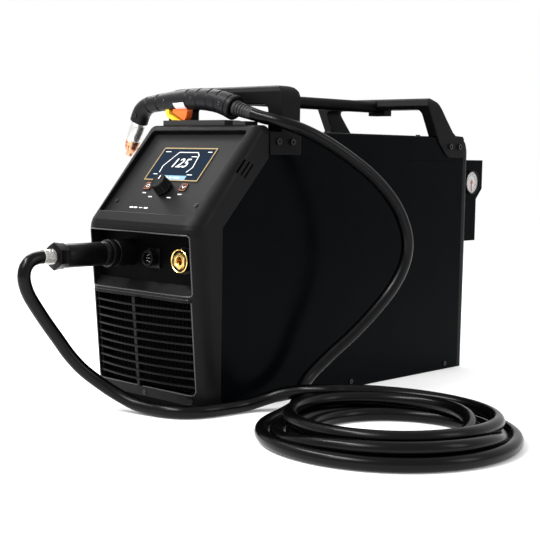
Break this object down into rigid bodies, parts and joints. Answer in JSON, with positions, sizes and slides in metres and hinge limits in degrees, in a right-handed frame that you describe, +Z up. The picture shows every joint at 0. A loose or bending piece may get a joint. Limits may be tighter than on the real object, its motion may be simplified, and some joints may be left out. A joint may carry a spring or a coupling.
{
  "type": "plasma cutter",
  "caption": "Portable inverter plasma cutter: sheet-steel case with a sloped control panel, carrying hoops and bar, rear air regulator, and a hand torch on a plugged-in, coiled hose.",
  "frame": {"origin": "The middle of the base's underside, between the side panels and their front and rear edges, on the floor.", "axes": "X is across the machine, the front panel faces -Y, and Z is up."},
  "size_m": [0.7797, 0.9165, 0.48],
  "materials": {
    "panel_metal": "gloss black powder coat on sheet steel",
    "bezel_grey": "dark grey satin moulded plastic",
    "hoop_grey": "grey lightly textured moulded plastic",
    "socket_black": "black satin plastic",
    "steel": "bright zinc or nickel",
    "brass": "bright turned brass",
    "copper": "bare copper",
    "alloy": "cast and extruded aluminium",
    "screen": "dark blue lit display",
    "gold": "thin gold-coloured frame line",
    "board": "green circuit board",
    "copper_winding": "taped windings",
    "rubber_black": "black rubber",
    "torch_grey": "grey textured grip moulding",
    "orange": "orange trigger",
    "yellow": "yellow safety catch",
    "hose_black": "gloss black hose jacket",
    "white_dial": "white dial",
    "red": "red pointer",
    "bowl": "smoked clear bowl"
  },
  "bodies": {
    "machine": {"base_plate": "panel_metal", "side_panel_left": "panel_metal", "side_panel_right": "panel_metal", "top_cover": "panel_metal", "case_screws": "steel", "front_bezel": "bezel_grey", "front_grille": "bezel_grey", "control_fascia": "bezel_grey", "fascia_screws": "steel", "display_frame": "gold", "display_screen": "screen", "control_board": "board", "connector_panel": "socket_black", "torch_socket": "socket_black", "cnc_socket": "socket_black", "work_socket": "socket_black", "work_contact": "brass", "torch_rest_mat": "rubber_black", "front_hoop": "hoop_grey", "rear_hoop": "hoop_grey", "handle_bar": "hoop_grey", "hoop_bolts": "steel", "rear_bezel": "bezel_grey", "rear_panel": "panel_metal", "fan_guard": "steel", "fan_frame": "socket_black", "mains_gland": "socket_black", "mains_switch_base": "socket_black", "heatsink": "alloy", "inverter_board": "board", "transformer": "copper_winding", "regulator_bracket": "panel_metal", "regulator_body": "alloy", "regulator_bowl": "bowl", "gauge_case": "socket_black", "gauge_dial": "white_dial", "air_inlet": "brass", "plug_body": "socket_black", "plug_gland": "steel", "hose_front": "hose_black", "hose_coil": "hose_black", "hose_rise": "hose_black"},
    "encoder": {"encoder_plunger": "steel"},
    "knob": {"encoder_shaft": "steel", "control_knob": "socket_black"},
    "left_button": {"button_left": "socket_black"},
    "right_button": {"button_right": "socket_black"},
    "torch": {"torch_handle_front": "torch_grey", "torch_handle_back": "torch_grey", "torch_head": "torch_grey", "torch_cup": "steel", "torch_tip": "copper", "torch_strain_relief": "rubber_black"},
    "trigger": {"torch_trigger": "orange"},
    "safety": {"torch_safety": "yellow"},
    "plug_ring": {"plug_nut": "steel"},
    "fan": {"fan_rotor": "socket_black"},
    "mains_knob": {"mains_switch_knob": "socket_black"},
    "pressure_knob": {"regulator_knob": "socket_black"},
    "needle": {"gauge_needle": "red"}
  },
  "joints": [
    {"name": "encoder_push", "type": "slide", "parent": "machine", "child": "encoder", "axis": [0, 0.749, -0.6626], "range_m": [0, 0.001], "stiffness_N_per_m": 800},
    {"name": "encoder_turn", "type": "hinge", "parent": "encoder", "child": "knob", "pos_m": [0, -0.29765, 0.32212], "axis": [0, -0.749, 0.6626], "continuous": true},
    {"name": "left_button_push", "type": "slide", "parent": "machine", "child": "left_button", "axis": [0, 0.749, -0.6626], "range_m": [0, 0.0008], "stiffness_N_per_m": 500},
    {"name": "right_button_push", "type": "slide", "parent": "machine", "child": "right_button", "axis": [0, 0.749, -0.6626], "range_m": [0, 0.0008], "stiffness_N_per_m": 500},
    {"name": "torch_lift", "type": "slide", "parent": "machine", "child": "torch", "axis": [0, 0, 1], "range_m": [0, 0.07]},
    {"name": "trigger_pull", "type": "hinge", "parent": "torch", "child": "trigger", "pos_m": [-0.06, -0.1975, 0.454], "axis": [0, 1, 0], "range_deg": [0, 6], "stiffness_Nm_per_rad": 0.5},
    {"name": "safety_slide", "type": "slide", "parent": "torch", "child": "safety", "axis": [-1, 0, 0], "range_m": [0, 0.006]},
    {"name": "plug_ring_turn", "type": "hinge", "parent": "machine", "child": "plug_ring", "pos_m": [-0.042, -0.366, 0.226], "axis": [0, -1, 0], "continuous": true},
    {"name": "fan_spin", "type": "hinge", "parent": "machine", "child": "fan", "pos_m": [-0.03, 0.27, 0.165], "axis": [0, 1, 0], "continuous": true},
    {"name": "mains_switch_turn", "type": "hinge", "parent": "machine", "child": "mains_knob", "pos_m": [-0.02, 0.3, 0.335], "axis": [0, 1, 0], "range_deg": [0, 90]},
    {"name": "pressure_turn", "type": "hinge", "parent": "machine", "child": "pressure_knob", "pos_m": [0.069, 0.3465, 0.37], "axis": [0, 0, 1], "continuous": true},
    {"name": "needle_swing", "type": "hinge", "parent": "machine", "child": "needle", "pos_m": [0.111, 0.3465, 0.3315], "axis": [-1, 0, 0], "range_deg": [0, 270], "stiffness_Nm_per_rad": 0.0002}
  ]
}
